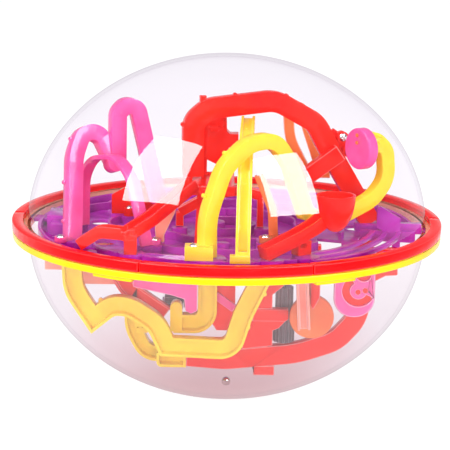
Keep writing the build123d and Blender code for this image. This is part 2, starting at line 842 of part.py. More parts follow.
# ---------------------------------------------------------------- tracks below the plate
LOWER_D = 6.0

# Lower yellow wave: hangs across the front, widest piece of the lower half.
with BuildPart() as lower_yellow_wave:
    lower_front = upright(0, -42, 0)
    add(
        channel(
            (
                (
                    lower_front,
                    (
                        (-75.6, UNDER_Z),
                        (-74.8, -23),
                        (-64.8, -38.4),
                        (-56, -31.2),
                        (-47, -31.6),
                        (-34, -40.2),
                        (-28.8, -51.8),
                        (3.4, -53),
                        (8.6, -35.5),
                        (17.6, -16),
                        (20, UNDER_Z),
                    ),
                    (20, 0, 10, 16, 16, 0, 8, 30, 20),
                ),
            ),
            9.6,
            LOWER_D,
        )
    )
    add(nubs(lower_front, ((-61.6, -29.6), (19.2, -25.2), (11.4, -42.4))))
finish(lower_yellow_wave.part, "lower_yellow_wave")

# Lower yellow hook: drops from the plate behind the wave, turns left and ends in a round crest.
CREST_X, CREST_Z = -24.6, -35.6
CREST_R = 3.0
with BuildPart() as lower_yellow_hook:
    hook_front = upright(0, -28, 0)
    add(channel(((hook_front, ((-9, UNDER_Z), (-9, -44), (-26, -44)), (7,)),), 9.5, LOWER_D))
    with BuildSketch(hook_front):
        with Locations((CREST_X, (CREST_Z - 48) / 2)):
            Rectangle(2 * CREST_R, CREST_Z + 48)
        with Locations((CREST_X, CREST_Z)):
            Circle(CREST_R)
    extrude(amount=LOWER_D)
finish(lower_yellow_hook.part, "lower_yellow_hook")

# Lower yellow loop: the deepest track at the left, with a rounded end and a cup in front of it.
LOOP_W = 8.0
LOOP_END = (21, -65.5)
LOOP_RIBS = ((0.8, -49.4, 4.6, 3.6), (2.3, -53.0, 5.6, 2.6))  # x, z, width, height
CUP_X0, CUP_X1 = 10.4, 25.3
CUP_Z0, CUP_Z1 = -68.4, -61.0
CUP_Y = 19.0  # front of the cup, ahead of the loop's back


def cup_outline(inset):
    """Section of the cup: flat on top, with a small and a large round at the bottom."""
    with BuildSketch() as outline:
        with BuildLine():
            Polyline(
                (CUP_X0 + inset, CUP_Z1),
                (CUP_X0 + inset, CUP_Z0 + inset),
                (CUP_X1 - inset, CUP_Z0 + inset),
                (CUP_X1 - inset, CUP_Z1),
                close=True,
            )
        make_face()
        low_left, low_right = outline.vertices().group_by(Axis.Y)[0].sort_by(Axis.X)
        fillet(low_left, 2.6 - inset)
        fillet(low_right, 6.0 - inset)
    return outline.sketch


with BuildPart() as lower_yellow_loop:
    loop_back = upright(-45, -10, 0)
    loop_points = ((-4, UNDER_Z), (-2.6, -52), (4.5, -65.5), LOOP_END)
    add(channel(((loop_back, loop_points, (20, 9)),), LOOP_W, LOWER_D))
    with BuildSketch(loop_back):
        with Locations(LOOP_END):
            Circle(LOOP_W / 2)
        for x, z, width, height in LOOP_RIBS:
            with Locations((x, z)):
                Rectangle(width, height)
    extrude(amount=LOWER_D)
    with BuildSketch(loop_back.offset(LOWER_D - 1)):
        add(cup_outline(0))
    extrude(amount=CUP_Y - LOWER_D + 1)
    with BuildSketch(loop_back.offset(CUP_Y)):
        add(cup_outline(TRACK_T))
    extrude(amount=-6, mode=Mode.SUBTRACT)
finish(lower_yellow_loop.part, "lower_yellow_loop")

# Lower red arch: runs along the bottom from the middle to the right side, closed to the front.
with BuildPart() as lower_red_arch:
    lower_arch = upright(0, -8, 0)
    add(
        channel(
            (
                (
                    lower_arch,
                    (
                        (-20, -69.5),
                        (0, -71),
                        (38, -67),
                        (58, -60),
                        (68.5, -48),
                        (70.5, -34),
                        (70.5, UNDER_Z),
                    ),
                    (40, 60, 20, 20, 20),
                ),
            ),
            10.6,
            -LOWER_D,
        )
    )
    with BuildSketch(lower_arch):
        with Locations((20.5, -76.5)):
            Rectangle(11, 5)
    extrude(amount=-2)
finish(lower_red_arch.part, "lower_red_arch")

# Lower red tower: a wide column that stands on the arch, with an arm to the right and a brow above it.
with BuildPart() as lower_red_tower:
    tower_front = upright(0, -20, 0)
    with BuildSketch(tower_front):
        with BuildLine():
            Polyline(
                (13, UNDER_Z),
                (31, UNDER_Z),
                (29.5, -27.4),
                (24, -32),
                (24, -39.4),
                (32.2, -39.4),
                (32.2, -44.4),
                (27.4, -49.7),
                (24.4, -51),
                (24.4, -59),
                (9, -61),
                (9, -45),
                close=True,
            )
        make_face()
    extrude(amount=-4)
    with BuildSketch(tower_front):
        with BuildLine():
            Polyline((14, -39.4), (32.2, -39.4), (32.2, -44.4), (30.6, -45.6), (14, -45.6), close=True)
        make_face()
    extrude(amount=1.6)
    with BuildSketch(upright(0, -16, 0)):
        with Locations((17, -57)):
            Rectangle(10, 8)
    extrude(amount=-8)
finish(lower_red_tower.part, "lower_red_tower")

# Pink spiral plate: a rounded plate with a C-shaped window, backed by a red insert with two pegs.
spiral_front = upright(60, -35, 0)
SPIRAL_T = 3.0
C_AT = (6.2, -25.3)
C_R = 6.2
C_W = 3.8
SPIRAL_PEGS = ((6.0, -25.8), (9.6, -25.0))
SPIRAL_PEG_R = 1.2


def spiral_outline(inset):
    """Rounded outline of the spiral plate, drawn in from its edge."""
    with BuildSketch() as outline:
        with BuildLine():
            Polyline(
                (-6 + inset, UNDER_Z),
                (-6 + inset, -39 + inset),
                (14.5 - inset, -39 + inset),
                (14.5 - inset, UNDER_Z),
                close=True,
            )
        make_face()
        low_corners = outline.vertices().group_by(Axis.Y)[0]
        fillet(low_corners, 9.8 - inset)
    return outline.sketch


with BuildPart() as pink_spiral_plate:
    with BuildSketch(spiral_front):
        add(spiral_outline(0))
        with BuildLine():
            CenterArc(C_AT, C_R, 120, 215)
        trace(line_width=C_W, mode=Mode.SUBTRACT)
        with Locations((8.6, -17.6)):
            Ellipse(3.6, 2.8, mode=Mode.SUBTRACT)
        with Locations(*SPIRAL_PEGS):
            Circle(SPIRAL_PEG_R, mode=Mode.SUBTRACT)
    extrude(amount=-SPIRAL_T)
    chamfer(pink_spiral_plate.faces().sort_by(Axis.Y)[0].outer_wire().edges(), 0.4)
finish(pink_spiral_plate.part, "pink_spiral_plate")

with BuildPart() as red_spiral_insert:
    with BuildSketch(spiral_front.offset(-SPIRAL_T)):
        add(spiral_outline(1.5))
    extrude(amount=-1.6)
    with BuildSketch(spiral_front.offset(-SPIRAL_T)):
        with Locations(*SPIRAL_PEGS):
            Circle(SPIRAL_PEG_R)
    extrude(amount=SPIRAL_T + 0.5)
finish(red_spiral_insert.part, "red_spiral_insert")

# Salmon post and red vee in front of the orange wheel.
with BuildPart() as salmon_post:
    add(channel(((upright(40, -25, 0), ((-2.5, UNDER_Z), (0, -48)), ()),), 6.4, 4.0))
finish(salmon_post.part, "salmon_post")

with BuildPart() as red_vee:
    with BuildSketch(upright(0, -24, 0)):
        with BuildLine():
            Polyline(
                (43.2, UNDER_Z), (47.9, UNDER_Z), (47.9, -32), (44.6, -38.5), (43.2, -36), close=True
            )
        make_face()
    extrude(amount=-3)
finish(red_vee.part, "red_vee")

# Orange wheel: turns on a pin that stands out of the hanger behind it.
ORANGE_AT = (44.2, -43.6)
ORANGE_R = 11.4
ORANGE_T = 4.0
orange_front = upright(0, -20, 0)
with BuildPart() as orange_wheel:
    with BuildSketch(orange_front):
        with Locations(ORANGE_AT):
            Circle(ORANGE_R)
    extrude(amount=-ORANGE_T)
    fillet(orange_wheel.edges().filter_by(GeomType.CIRCLE), 0.8)
    with BuildSketch(orange_front.offset(-ORANGE_T)):
        with Locations(ORANGE_AT):
            Circle(PIN_R + PIN_CLEARANCE)
    extrude(amount=3.0, mode=Mode.SUBTRACT)
finish(orange_wheel.part, "orange_wheel")

HANGER_T = 3.0
with BuildPart() as orange_wheel_hanger:
    with BuildSketch(orange_front.offset(-ORANGE_T - GAP)):
        with Locations((43.5, (UNDER_Z - 46) / 2)):
            Rectangle(6, UNDER_Z + 46)
        with Locations(ORANGE_AT):
            Circle(PIN_R, mode=Mode.SUBTRACT)
    extrude(amount=-HANGER_T)
finish(orange_wheel_hanger.part, "orange_wheel_hanger")

with BuildPart() as orange_wheel_pin:
    with BuildSketch(orange_front.offset(-ORANGE_T + 2.7)):
        with Locations(ORANGE_AT):
            Circle(PIN_R)
    extrude(amount=-2.7 - GAP - HANGER_T)
finish(orange_wheel_pin.part, "orange_wheel_pin")


# ---------------------------------------------------------------- grey rollers
def ribbed_roller(plane, length, radius, ribs):
    """Roller with grooves along its length and a bore for its pin."""
    with BuildPart() as roller:
        with BuildSketch(plane):
            Circle(radius)
            with PolarLocations(radius, ribs):
                Rectangle(1.2, radius * 0.16, mode=Mode.SUBTRACT)
            Circle(PIN_R + PIN_CLEARANCE, mode=Mode.SUBTRACT)
        extrude(amount=length)
    return roller.part


ROLLER_AT = (30.6, -5.0)
ROLLER_TOP, ROLLER_STEP, ROLLER_BOTTOM = -31.4, -44.0, -60.5
roller_plane = Plane(origin=(*ROLLER_AT, RIM_Z + ROLLER_BOTTOM))
with BuildPart() as grey_roller:
    add(ribbed_roller(roller_plane, ROLLER_STEP - ROLLER_BOTTOM, 5.7, 16))
    add(ribbed_roller(roller_plane.offset(ROLLER_STEP - ROLLER_BOTTOM), ROLLER_TOP - ROLLER_STEP, 4.7, 14))
finish(grey_roller.part, "grey_roller")

with BuildPart() as roller_pin:
    with BuildSketch(roller_plane.offset(-GAP - 0.8)):
        Circle(PIN_R)
    extrude(amount=UNDER_Z - ROLLER_BOTTOM + GAP + 0.8)
    with BuildSketch(roller_plane.offset(-GAP)):
        Circle(2.0)
    extrude(amount=-0.8)
    with BuildSketch(level(UNDER_Z)):
        with Locations(ROLLER_AT):
            Circle(2.5)
    extrude(amount=-2)
finish(roller_pin.part, "roller_pin")

GREY_WHEEL_X0, GREY_WHEEL_X1 = -31.5, -22.0
GREY_WHEEL_Y = -5.0
GREY_WHEEL_Z = -39.9
GREY_WHEEL_R = 4.5
wheel_end = Plane(
    origin=(GREY_WHEEL_X0, GREY_WHEEL_Y, RIM_Z + GREY_WHEEL_Z), x_dir=(0, 1, 0), z_dir=(1, 0, 0)
)
with BuildPart() as grey_wheel:
    add(ribbed_roller(wheel_end, GREY_WHEEL_X1 - GREY_WHEEL_X0, GREY_WHEEL_R, 12))
finish(grey_wheel.part, "grey_wheel")

GREY_HANGER_X = GREY_WHEEL_X1 + GAP
with BuildPart() as grey_wheel_hanger:
    with BuildSketch(Plane(origin=(GREY_HANGER_X, 0, RIM_Z), x_dir=(0, 1, 0), z_dir=(1, 0, 0))):
        with Locations((GREY_WHEEL_Y, (UNDER_Z - 43) / 2)):
            Rectangle(5, UNDER_Z + 43)
        with Locations((GREY_WHEEL_Y, GREY_WHEEL_Z)):
            Circle(PIN_R, mode=Mode.SUBTRACT)
    extrude(amount=HANGER_T)
finish(grey_wheel_hanger.part, "grey_wheel_hanger")

with BuildPart() as grey_wheel_pin:
    with BuildSketch(wheel_end.offset(-GAP - 0.8)):
        Circle(PIN_R)
    extrude(amount=GREY_HANGER_X + HANGER_T - GREY_WHEEL_X0 + GAP + 0.8)
    with BuildSketch(wheel_end.offset(-GAP)):
        Circle(2.0)
    extrude(amount=-0.8)
finish(grey_wheel_pin.part, "grey_wheel_pin")

# ---------------------------------------------------------------- small walls and brackets below
PANELS = (  # name, Y of the front face, thickness, outline
    (
        "red_side_arm",
        -29.5,
        3.0,
        ((66, UNDER_Z), (86, UNDER_Z), (86, -18.4), (80, -18.8), (76, -21), (70, -24), (66, -24)),
    ),
    (
        "salmon_side_wall",
        -20.0,
        2.5,
        ((-92, UNDER_Z), (-92, -20.5), (-82, -20.5), (-74, -27.8), (-45, -27.8), (-45, UNDER_Z)),
    ),
    (
        "pink_under_bracket",
        -38.0,
        3.0,
        (
            (-46, UNDER_Z),
            (-14, UNDER_Z),
            (-14, -36),
            (-17, -37.5),
            (-20, -36),
            (-20.5, -30),
            (-27, -28),
            (-46, -24),
        ),
    ),
    (
        "lower_red_cradle",
        -24.0,
        3.5,
        ((-7, UNDER_Z), (5, UNDER_Z), (5, -46), (2.5, -50), (-4.5, -50), (-7, -46)),
    ),
)
for name, front_y, thickness, outline in PANELS:
    with BuildPart() as panel:
        with BuildSketch(upright(0, front_y, 0)):
            with BuildLine():
                Polyline(*outline, close=True)
            make_face()
        extrude(amount=-thickness)
    finish(panel.part, name)

with BuildPart() as pink_link_bar:
    with BuildSketch(upright(0, -26.6, 0)):
        add(band(((-5, -31), (4.6, -38)), (), 3.8))
    extrude(amount=-2.6)
finish(pink_link_bar.part, "pink_link_bar")

with BuildPart() as red_diagonal_chute:
    add(
        channel(
            ((upright(-45, -22, 0), ((-11, UNDER_Z), (-9.4, -20), (-4, -29), (15, -42)), (15, 15)),),
            9.0,
            4.0,
        )
    )
finish(red_diagonal_chute.part, "red_diagonal_chute")

# ---------------------------------------------------------------- screws and ball
SCREW_HEAD_H = 1.2
RECESS_W = 0.7
RECESS_L = 2.6

with BuildPart() as one_screw:
    with BuildSketch(Plane.XZ):
        with BuildLine():
            Polyline((SCREW_HEAD_R, 0), (SCREW_R, 0), (SCREW_R, -SCREW_L), (0, -SCREW_L), (0, SCREW_HEAD_H))
            RadiusArc((0, SCREW_HEAD_H), (SCREW_HEAD_R, 0), 3.2)
        make_face()
    revolve(axis=Axis.Z)
    with BuildSketch(Plane.XY.offset(SCREW_HEAD_H + 0.1)):
        Rectangle(RECESS_L, RECESS_W)
        Rectangle(RECESS_W, RECESS_L)
    extrude(amount=-0.9, mode=Mode.SUBTRACT)

UPRIGHT_BOSSES = (PINK_BOSS, STRAP_BOSS, YELLOW_BOSS, BACK_BOSS, POST_BOSS)
upright_screws = [Location((x, y, RIM_Z + top)) for x, y, top in UPRIGHT_BOSSES]
bracket_screws = [red_arch.offset(BOSS_FRONT).location * Location((x, z, 0)) for x, z in BRACKET_BOSSES]
with BuildPart() as screws:
    with Locations(*upright_screws, *bracket_screws):
        add(one_screw.part)
finish(screws.part, "screws")

BALL_X, BALL_Y = 0.9, -4.0
BALL_LIFT = 0.32  # clear of the bowl's floor
bowl_floor = RIM_Z - (SHELL_RZ - SHELL_T) * sqrt(1 - (POLE_R / (SHELL_RX - SHELL_T)) ** 2)
with BuildPart() as steel_ball:
    with Locations((BALL_X, BALL_Y, bowl_floor + BALL_LIFT + BALL_R)):
        Sphere(BALL_R)
finish(steel_ball.part, "steel_ball")
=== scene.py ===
import json
import math

import bmesh
import bpy
from mathutils import Matrix, Vector


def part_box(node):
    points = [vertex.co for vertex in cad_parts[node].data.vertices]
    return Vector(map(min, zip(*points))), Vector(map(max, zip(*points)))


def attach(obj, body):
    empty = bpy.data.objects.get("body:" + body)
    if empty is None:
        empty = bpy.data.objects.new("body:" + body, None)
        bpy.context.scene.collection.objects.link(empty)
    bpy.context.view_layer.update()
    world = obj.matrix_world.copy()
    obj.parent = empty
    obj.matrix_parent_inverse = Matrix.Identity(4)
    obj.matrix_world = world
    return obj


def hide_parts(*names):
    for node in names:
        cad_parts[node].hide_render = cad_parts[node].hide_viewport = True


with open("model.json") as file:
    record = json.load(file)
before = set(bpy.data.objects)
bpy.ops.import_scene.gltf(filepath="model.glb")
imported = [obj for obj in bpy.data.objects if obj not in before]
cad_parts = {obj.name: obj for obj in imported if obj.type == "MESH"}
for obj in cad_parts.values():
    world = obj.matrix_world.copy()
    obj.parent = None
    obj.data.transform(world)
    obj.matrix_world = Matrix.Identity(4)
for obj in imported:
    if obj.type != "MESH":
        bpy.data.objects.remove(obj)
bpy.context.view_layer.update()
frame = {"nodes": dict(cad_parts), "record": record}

nodes = frame["nodes"]
scene = bpy.context.scene
MM = 0.001

RIM_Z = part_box("clear_upper_shell")[0].z  # parting plane of the two shells
SHELL_RX = 102.2 * MM
SHELL_RZ = 88.2 * MM
SHELL_T = 1.6 * MM
FLANGE_T = 1.6 * MM
FLANGE_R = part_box("clear_upper_shell")[1].x
SHARP_ANGLE = math.radians(35)  # faces that meet at more than this keep a hard edge


# ---------------------------------------------------------------- node helpers
def new_material(name):
    mat = bpy.data.materials.new(name)
    mat.use_nodes = True
    tree = mat.node_tree
    tree.nodes.clear()
    return mat, tree


def noise(tree, scale, detail=2.0, rough=0.5):
    place = tree.nodes.new("ShaderNodeTexCoord")
    made = tree.nodes.new("ShaderNodeTexNoise")
    made.inputs["Scale"].default_value = scale
    made.inputs["Detail"].default_value = detail
    made.inputs["Roughness"].default_value = rough
    tree.links.new(place.outputs["Object"], made.inputs["Vector"])
    return made.outputs["Fac"]


def ramp(tree, fac, stops):
    made = tree.nodes.new("ShaderNodeValToRGB")
    cr = made.color_ramp
    while len(cr.elements) < len(stops):
        cr.elements.new(0.5)
    for element, (pos, col) in zip(cr.elements, stops):
        element.position = pos
        element.color = (*col, 1.0)
    tree.links.new(fac, made.inputs["Fac"])
    return made.outputs["Color"]


def scale_range(tree, value, from_low, from_high, to_low, to_high):
    made = tree.nodes.new("ShaderNodeMapRange")
    made.inputs["From Min"].default_value = from_low
    made.inputs["From Max"].default_value = from_high
    made.inputs["To Min"].default_value = to_low
    made.inputs["To Max"].default_value = to_high
    tree.links.new(value, made.inputs["Value"])
    return made.outputs["Result"]


def spread(tree, fac, low, high):
    """Noise stays mostly between 0.3 and 0.7; this stretches that to low..high."""
    return scale_range(tree, fac, 0.3, 0.7, low, high)


def bump(tree, height, strength, distance):
    made = tree.nodes.new("ShaderNodeBump")
    made.inputs["Strength"].default_value = strength
    made.inputs["Distance"].default_value = distance
    tree.links.new(height, made.inputs["Height"])
    return made.outputs["Normal"]


def moulded(name, light, deep, rough=(0.16, 0.3), glow=0.25, coat=0.12, specular=0.35):
    """Glossy moulded plastic: flow clouding in the colour, faint orange peel, light let in by glow."""
    mat, tree = new_material(name)
    out = tree.nodes.new("ShaderNodeOutputMaterial")
    shader = tree.nodes.new("ShaderNodeBsdfPrincipled")
    cloud = noise(tree, 45.0, 3.0, 0.55)
    tree.links.new(ramp(tree, cloud, ((0.36, deep), (0.62, light))), shader.inputs["Base Color"])
    tree.links.new(spread(tree, noise(tree, 240.0, 2.0), *rough), shader.inputs["Roughness"])
    tree.links.new(bump(tree, noise(tree, 900.0, 1.0), 0.12, 0.0002), shader.inputs["Normal"])
    shader.inputs["IOR"].default_value = 1.5
    shader.inputs["Specular IOR Level"].default_value = specular
    shader.inputs["Coat Weight"].default_value = coat
    shader.inputs["Coat Roughness"].default_value = 0.06
    shader.inputs["Subsurface Weight"].default_value = glow
    shader.inputs["Subsurface Radius"].default_value = (3.0, 1.6, 1.2)
    shader.inputs["Subsurface Scale"].default_value = 0.001
    tree.links.new(shader.outputs["BSDF"], out.inputs["Surface"])
    return mat


def metal(name, light, deep, rough):
    mat, tree = new_material(name)
    out = tree.nodes.new("ShaderNodeOutputMaterial")
    shader = tree.nodes.new("ShaderNodeBsdfPrincipled")
    cloud = noise(tree, 600.0, 3.0, 0.6)
    tree.links.new(ramp(tree, cloud, ((0.35, deep), (0.65, light))), shader.inputs["Base Color"])
    tree.links.new(spread(tree, noise(tree, 1500.0), *rough), shader.inputs["Roughness"])
    shader.inputs["Metallic"].default_value = 1.0
    tree.links.new(shader.outputs["BSDF"], out.inputs["Surface"])
    return mat


def combine(tree, operation, first, second):
    """Math node; either input may be a number or another node's output."""
    made = tree.nodes.new("ShaderNodeMath")
    made.operation = operation
    for socket, value in zip(made.inputs, (first, second)):
        if isinstance(value, (int, float)):
            socket.default_value = value
        else:
            tree.links.new(value, socket)
    return made.outputs["Value"]


def mix_colour(tree, blend, fac, first, second):
    made = tree.nodes.new("ShaderNodeMix")
    made.data_type = "RGBA"
    made.blend_type = blend
    if isinstance(fac, (int, float)):
        made.inputs["Factor"].default_value = fac
    else:
        tree.links.new(fac, made.inputs["Factor"])
    for socket, value in ((made.inputs[6], first), (made.inputs[7], second)):
        if isinstance(value, tuple):
            socket.default_value = (*value, 1.0)
        else:
            tree.links.new(value, socket)
    return made.outputs[2]


EDGE_BAND = (0.78, 0.94)  # how far the wall turns from facing before it darkens, start and end
SCHLICK_POWER = 5.0


def clear_plastic(name, height_colours, edge_tint, mirror_head_on, mirror_grazing):
    """Clear moulding: a colour by height from the ramp given, deepening towards grazing, under a mirror
    that strengthens there. For the shells that ramp is a lavender tint with a pink painted reflection of
    the red parts inside near the bottom pole.

    The mirror is on the side that the face looks to, so a wall reflects once.
    """
    mat, tree = new_material(name)
    out = tree.nodes.new("ShaderNodeOutputMaterial")
    see = tree.nodes.new("ShaderNodeBsdfTransparent")
    coord = tree.nodes.new("ShaderNodeTexCoord")
    split = tree.nodes.new("ShaderNodeSeparateXYZ")
    tree.links.new(coord.outputs["Object"], split.inputs["Vector"])
    height = scale_range(tree, split.outputs["Z"], 0.0, 2 * RIM_Z, 0.0, 1.0)
    clouded = combine(tree, "ADD", height, spread(tree, noise(tree, 12.0, 2.0), -0.02, 0.02))
    facing = tree.nodes.new("ShaderNodeLayerWeight")
    facing.inputs["Blend"].default_value = 0.5
    near_edge = scale_range(tree, facing.outputs["Facing"], *EDGE_BAND, 0.0, 1.0)
    # the colour let through: the height ramp, which on the shells carries the painted reflection, deepened
    # towards grazing
    tint_and_reflection = mix_colour(tree, "MULTIPLY", near_edge, ramp(tree, clouded, height_colours), edge_tint)
    tree.links.new(tint_and_reflection, see.inputs["Color"])
    mirror = tree.nodes.new("ShaderNodeBsdfPrincipled")
    mirror.inputs["Base Color"].default_value = (1.0, 0.99, 0.995, 1.0)
    mirror.inputs["Metallic"].default_value = 1.0
    tree.links.new(spread(tree, noise(tree, 90.0), 0.0, 0.03), mirror.inputs["Roughness"])
    tree.links.new(bump(tree, noise(tree, 30.0, 1.0), 0.05, 0.0004), mirror.inputs["Normal"])
    grazing = combine(tree, "POWER", facing.outputs["Facing"], SCHLICK_POWER)
    fresnel = scale_range(tree, grazing, 0.0, 1.0, mirror_head_on, mirror_grazing)
    side = tree.nodes.new("ShaderNodeNewGeometry")
    outward = combine(tree, "SUBTRACT", 1.0, side.outputs["Backfacing"])
    mix = tree.nodes.new("ShaderNodeMixShader")
    tree.links.new(combine(tree, "MULTIPLY", fresnel, outward), mix.inputs["Fac"])
    tree.links.new(see.outputs["BSDF"], mix.inputs[1])
    tree.links.new(mirror.outputs["BSDF"], mix.inputs[2])
    tree.links.new(mix.outputs["Shader"], out.inputs["Surface"])
    return mat


# ---------------------------------------------------------------- materials
SHELL_TINT_AND_PAINTED_REFLECTION = (  # share of the height, colour let through by one wall: a lavender tint, pinker towards the bottom pole as a painted reflection of the red parts inside
    # the lowest stops are pink painted reflection of the red parts inside; the upper stops are the
    # plastic's own lavender tint
    (0.0, (0.72, 0.5, 0.52)),
    (0.07, (0.82, 0.65, 0.67)),
    (0.2, (0.9, 0.85, 0.88)),
    (0.42, (0.925, 0.89, 0.915)),
    (0.6, (0.962, 0.944, 0.972)),
)
PLASTICS = {  # slot: light and deep colour, roughness range, glow, coat, specular
    "rim_red": ((0.94, 0.003, 0.006), (0.9, 0.001, 0.003), (0.1, 0.2), 0.05, 0.05, 0.08),
    "rim_yellow": ((0.94, 0.62, 0.003), (0.9, 0.57, 0.001), (0.12, 0.24), 0.08, 0.1, 0.12),
    "purple_plastic": ((0.5, 0.03, 0.46), (0.33, 0.008, 0.3), (0.1, 0.22), 0.2, 0.12, 0.25),
    "pink_plastic": ((0.93, 0.12, 0.41), (0.9, 0.075, 0.31), (0.15, 0.28), 0.4, 0.12, 0.35),
    "yellow_plastic": ((0.94, 0.72, 0.04), (0.92, 0.65, 0.028), (0.15, 0.28), 0.35, 0.12, 0.35),
    "red_plastic": ((0.93, 0.018, 0.007), (0.84, 0.006, 0.004), (0.14, 0.26), 0.2, 0.06, 0.2),
    "orange_plastic": ((0.9, 0.25, 0.07), (0.84, 0.17, 0.04), (0.15, 0.28), 0.35, 0.12, 0.35),
    "salmon_plastic": ((0.93, 0.36, 0.25), (0.88, 0.26, 0.18), (0.15, 0.28), 0.35, 0.12, 0.35),
    "grey_plastic": ((0.2, 0.14, 0.16), (0.1, 0.07, 0.085), (0.3, 0.45), 0.0, 0.1, 0.35),
}
EDGE_HIGHLIGHT_WHITE = 0.28  # share of white mixed into the rounded edges, a painted highlight along them
# the rims get only a faint painted highlight on their rounded edges
RIM_EDGE_HIGHLIGHT_WHITE = 0.03


def paler(colour, share):
    return tuple(c + (1 - c) * share for c in colour)


def painted_edge_highlight(name, look):
    """The same plastic a little paler, for the rounded edges: a painted highlight."""
    share = RIM_EDGE_HIGHLIGHT_WHITE if name.startswith("rim") else EDGE_HIGHLIGHT_WHITE
    return moulded(name + "_edge", paler(look[0], share), paler(look[1], share), *look[2:])


MATERIALS = {name: moulded(name, *look) for name, look in PLASTICS.items()}
# each plastic has a paler copy for its rounded edges, which paints a highlight along them
EDGE_HIGHLIGHTS = {name: painted_edge_highlight(name, look) for name, look in PLASTICS.items()}
MATERIALS["screw_steel"] = metal("screw_steel", (0.85, 0.85, 0.86), (0.6, 0.6, 0.62), (0.12, 0.25))
MATERIALS["pin_steel"] = metal("pin_steel", (0.7, 0.7, 0.72), (0.45, 0.45, 0.47), (0.2, 0.35))
MATERIALS["ball_steel"] = metal("ball_steel", (0.8, 0.72, 0.72), (0.6, 0.5, 0.5), (0.03, 0.08))
EDGE_TINT = (0.84, 0.82, 0.84)
MATERIALS["clear_plastic"] = clear_plastic("clear_plastic", SHELL_TINT_AND_PAINTED_REFLECTION, EDGE_TINT, 0.04, 0.3)
LOWER_SHELL = clear_plastic("clear_plastic_lower", SHELL_TINT_AND_PAINTED_REFLECTION, EDGE_TINT, 0.11, 0.4)
FLANGE = moulded("shell_flange", (0.95, 0.55, 0.34), (0.92, 0.42, 0.25), (0.2, 0.3), 0.4)
INSIDE_TINTS = ((0.0, (0.99, 0.985, 0.99)), (1.0, (1.0, 0.995, 1.0)))
SHELL_INSIDE = clear_plastic("clear_plastic_inside", INSIDE_TINTS, (0.97, 0.96, 0.97), 0.0, 0.02)

slots = {part["node"]: part["material_slot"] for part in frame["record"]["subparts"]}
BEVELS = {  # node: edge radius in mm, where it isn't the usual one
    "maze_plate": 0.25,
    "screws": 0.1,
    "steel_ball": 0.0,
    "grey_roller": 0.12,
    "grey_wheel": 0.12,
    "drum_pegs": 0.15,
}
USUAL_BEVEL = 0.4
BEVEL_ANGLE = math.radians(40)  # edges sharper than this are rounded
MERGE_DISTANCE = 0.02 * MM


def finish_edges(obj, radius, edge_slot):
    weld = obj.modifiers.new("weld", "WELD")
    weld.merge_threshold = MERGE_DISTANCE
    if radius:
        bevel = obj.modifiers.new("bevel", "BEVEL")
        bevel.width = radius * MM
        bevel.segments = 2
        # the rounded edges take the last slot; on the plastics that is the paler copy with the painted
        # highlight
        bevel.material = edge_slot
        bevel.limit_method = "ANGLE"
        bevel.angle_limit = BEVEL_ANGLE
        bevel.harden_normals = True
        bevel.use_clamp_overlap = True


for name, obj in nodes.items():
    obj.data.materials.clear()
    obj.data.materials.append(MATERIALS[slots[name]])
    # plastics get a second slot, the paler copy that paints a highlight on the rounded edges
    if slots[name] in EDGE_HIGHLIGHTS:
        obj.data.materials.append(EDGE_HIGHLIGHTS[slots[name]])
    obj.data.shade_smooth()
    obj.data.set_sharp_from_angle(angle=SHARP_ANGLE)
    finish_edges(obj, BEVELS.get(name, USUAL_BEVEL), len(obj.data.materials) - 1)


# ---------------------------------------------------------------- clear shells
def revolved(name, profile, segments=192):
    """Closed solid of revolution about Z; the profile is a closed loop of (radius, height)."""
    mesh = bpy.data.meshes.new(name)
    bm = bmesh.new()
    rings = []
    for r, z in profile:
        if r < 1e-7:
            rings.append([bm.verts.new((0, 0, z))])
        else:
            turn = [2 * math.pi * i / segments for i in range(segments)]
            rings.append([bm.verts.new((r * math.cos(a), r * math.sin(a), z)) for a in turn])
    for low, high in zip(rings, rings[1:] + rings[:1]):
        for i in range(segments):
            j = (i + 1) % segments
            if len(low) == 1 and len(high) == 1:
                break
            if len(low) == 1:
                bm.faces.new((low[0], high[j], high[i]))
            elif len(high) == 1:
                bm.faces.new((low[i], low[j], high[0]))
            else:
                bm.faces.new((low[i], low[j], high[j], high[i]))
    bmesh.ops.recalc_face_normals(bm, faces=bm.faces)
    bm.to_mesh(mesh)
    bm.free()
    mesh.shade_smooth()
    mesh.set_sharp_from_angle(angle=SHARP_ANGLE)
    obj = bpy.data.objects.new(name, mesh)
    scene.collection.objects.link(obj)
    return obj


def shell_profile(side, steps=72):
    """Section of a half shell with its flange; side is 1 above the parting plane and -1 below it."""
    if side > 0:
        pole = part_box("clear_upper_shell")[1].z - RIM_Z
    else:
        pole = RIM_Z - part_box("clear_lower_shell")[0].z
    outer = []
    inner = []
    for i in range(steps + 1):
        a = math.pi / 2 * i / steps
        outer.append((SHELL_RX * math.cos(a), min(SHELL_RZ * math.sin(a), pole)))
        inner.append(((SHELL_RX - SHELL_T) * math.cos(a), (SHELL_RZ - SHELL_T) * math.sin(a)))
    outer[-1] = (0.0, pole)
    inner[-1] = (0.0, inner[-1][1] - 0.1 * MM)
    rise = [p for p in outer if p[1] > FLANGE_T * 1.3]
    flange = [
        (FLANGE_R, 0.0),
        (FLANGE_R, FLANGE_T),
        (SHELL_RX + 0.4 * MM, FLANGE_T),
        (SHELL_RX, FLANGE_T * 1.15),
    ]
    loop = [inner[0]] + flange + rise + inner[:0:-1]
    return [(r, RIM_Z + side * z) for r, z in loop]


